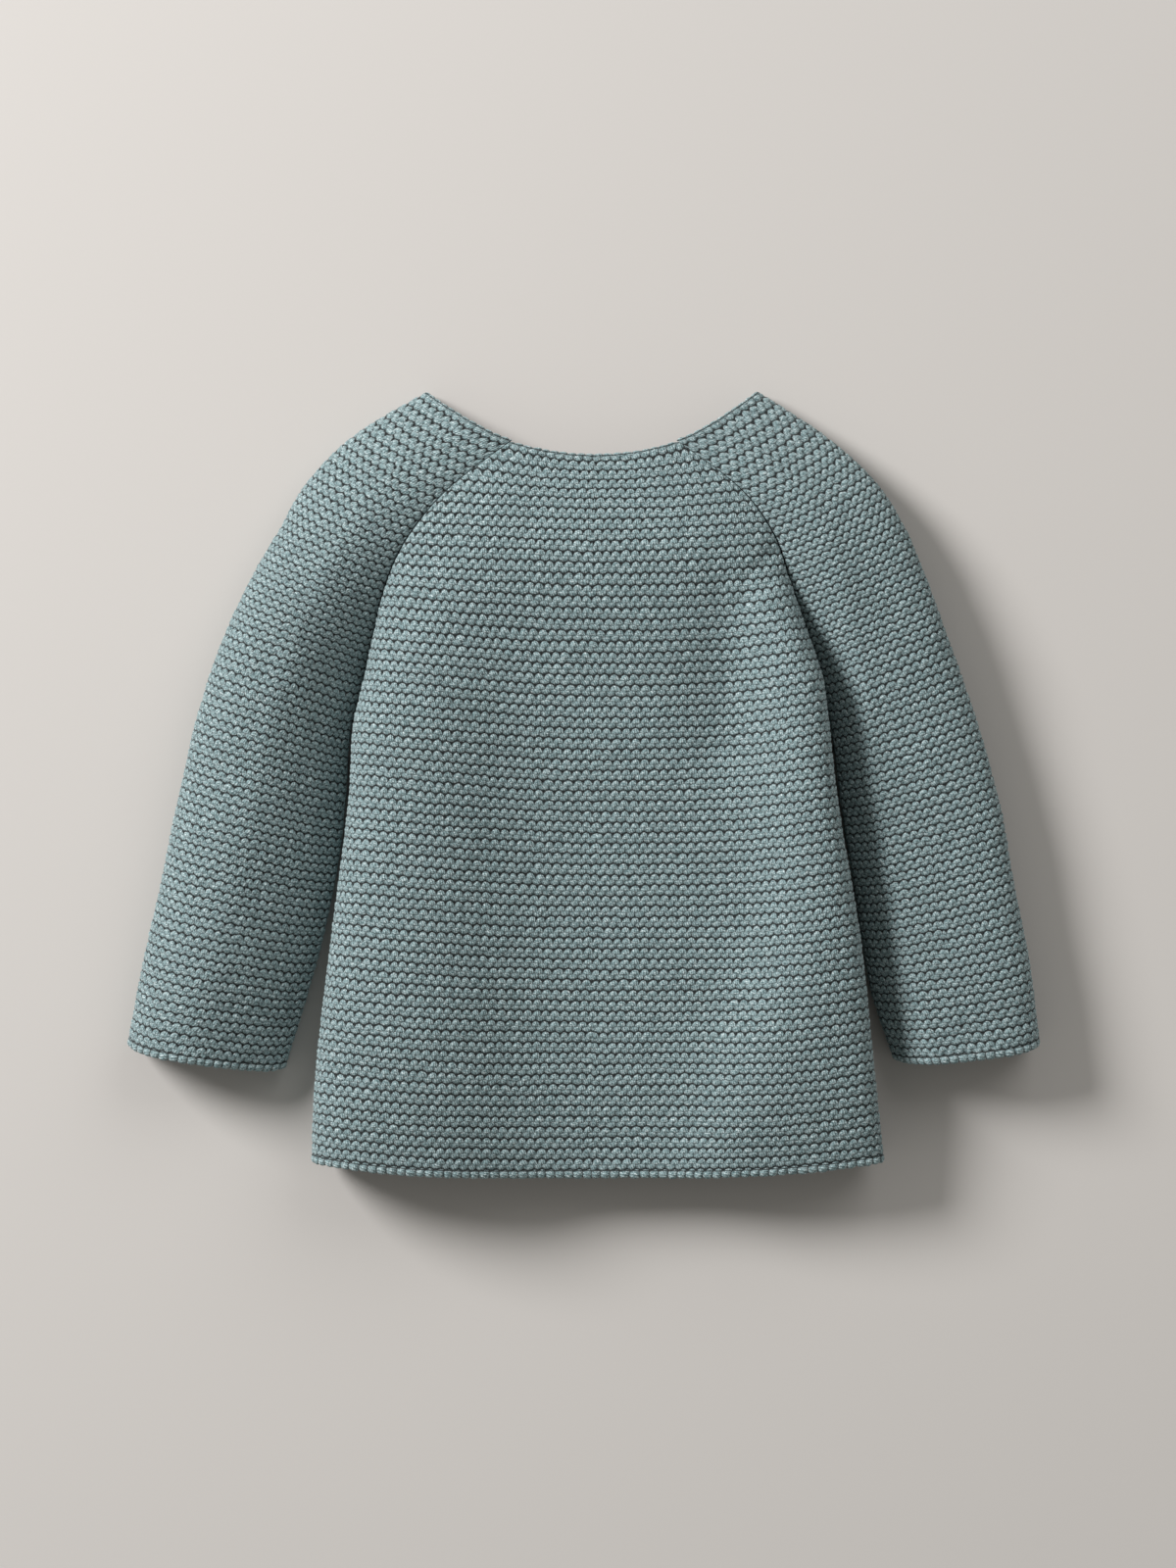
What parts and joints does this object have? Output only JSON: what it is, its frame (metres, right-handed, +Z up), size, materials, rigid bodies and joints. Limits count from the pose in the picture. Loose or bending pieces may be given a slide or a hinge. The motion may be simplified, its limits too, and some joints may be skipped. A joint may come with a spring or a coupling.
{
  "type": "baby cardigan",
  "caption": "Long-sleeved raglan cardigan for a baby in teal garter stitch, lying face down and softly filled out, open at neck, hem and cuffs.",
  "frame": {"origin": "on the surface that the fronts lie on, under the middle of the whole garment's box", "axes": "+X towards the wearer's right sleeve, +Y towards the neck, +Z up from the surface, out of the back"},
  "size_m": [0.3548, 0.3058, 0.0426],
  "materials": {
    "cotton_knit": "matt heathered cotton in garter stitch"
  },
  "bodies": {
    "root": {"back": "cotton_knit", "front_left": "cotton_knit", "front_right": "cotton_knit", "sleeve_left": "cotton_knit", "sleeve_right": "cotton_knit"}
  },
  "joints": []
}
